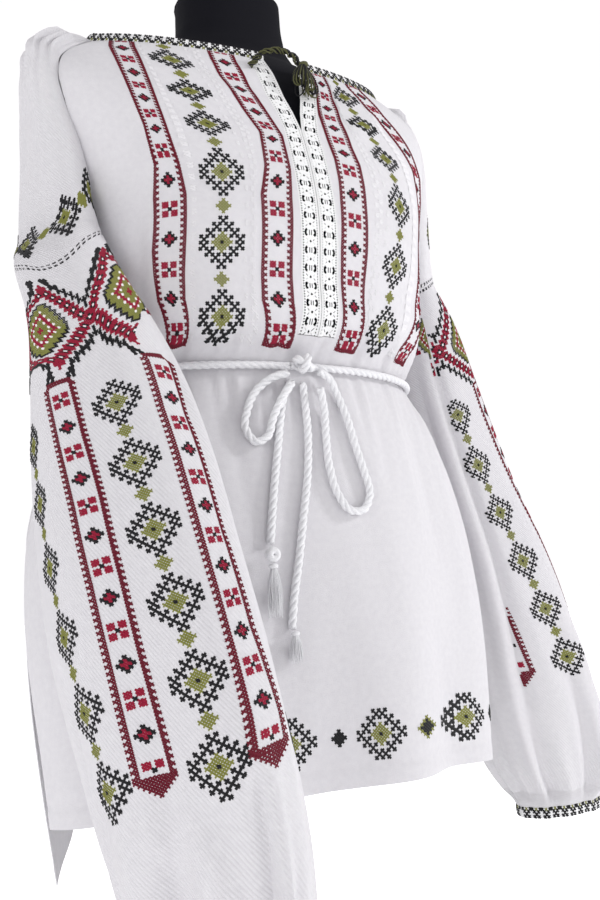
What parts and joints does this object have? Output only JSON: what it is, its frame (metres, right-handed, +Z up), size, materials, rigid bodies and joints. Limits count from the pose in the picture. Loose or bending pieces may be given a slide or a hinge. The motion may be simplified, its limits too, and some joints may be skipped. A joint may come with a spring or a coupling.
{
  "type": "romanian blouse on a dress form",
  "caption": "White peasant blouse with cross-stitched front and full sleeves, tied at the waist with a cord, standing on a limbless dress form with a round base.",
  "frame": {"origin": "on the floor, at the middle of the underside of the round base", "axes": "+Z up, the front of the blouse faces -Y, the wearer's right is -X"},
  "size_m": [0.642, 0.4515, 1.121],
  "materials": {
    "cotton": "matte plain weave",
    "lace": "matte crochet",
    "edging": "matte worked edging",
    "cord": "matte twisted cord",
    "tie_thread": "soft sheen thread",
    "jersey": "matte jersey",
    "steel": "satin black"
  },
  "bodies": {
    "root": {"blouse_front": "cotton", "blouse_back": "cotton", "sleeve_right": "cotton", "sleeve_left": "cotton", "lace_right": "lace", "lace_left": "lace", "neck_band": "edging", "cuff_right": "edging", "cuff_left": "edging", "waist_cord": "cord", "bow_knot": "cord", "bow_loop_right": "cord", "bow_loop_left": "cord", "bow_tail_right": "cord", "bow_tail_left": "cord", "bow_tassel_right": "cord", "bow_tassel_left": "cord", "neck_tie": "tie_thread", "neck_tie_tassel": "tie_thread", "form_body": "jersey", "form_neck_cap": "jersey", "form_under_plate": "steel", "form_pole": "steel", "form_base": "steel"}
  },
  "joints": []
}
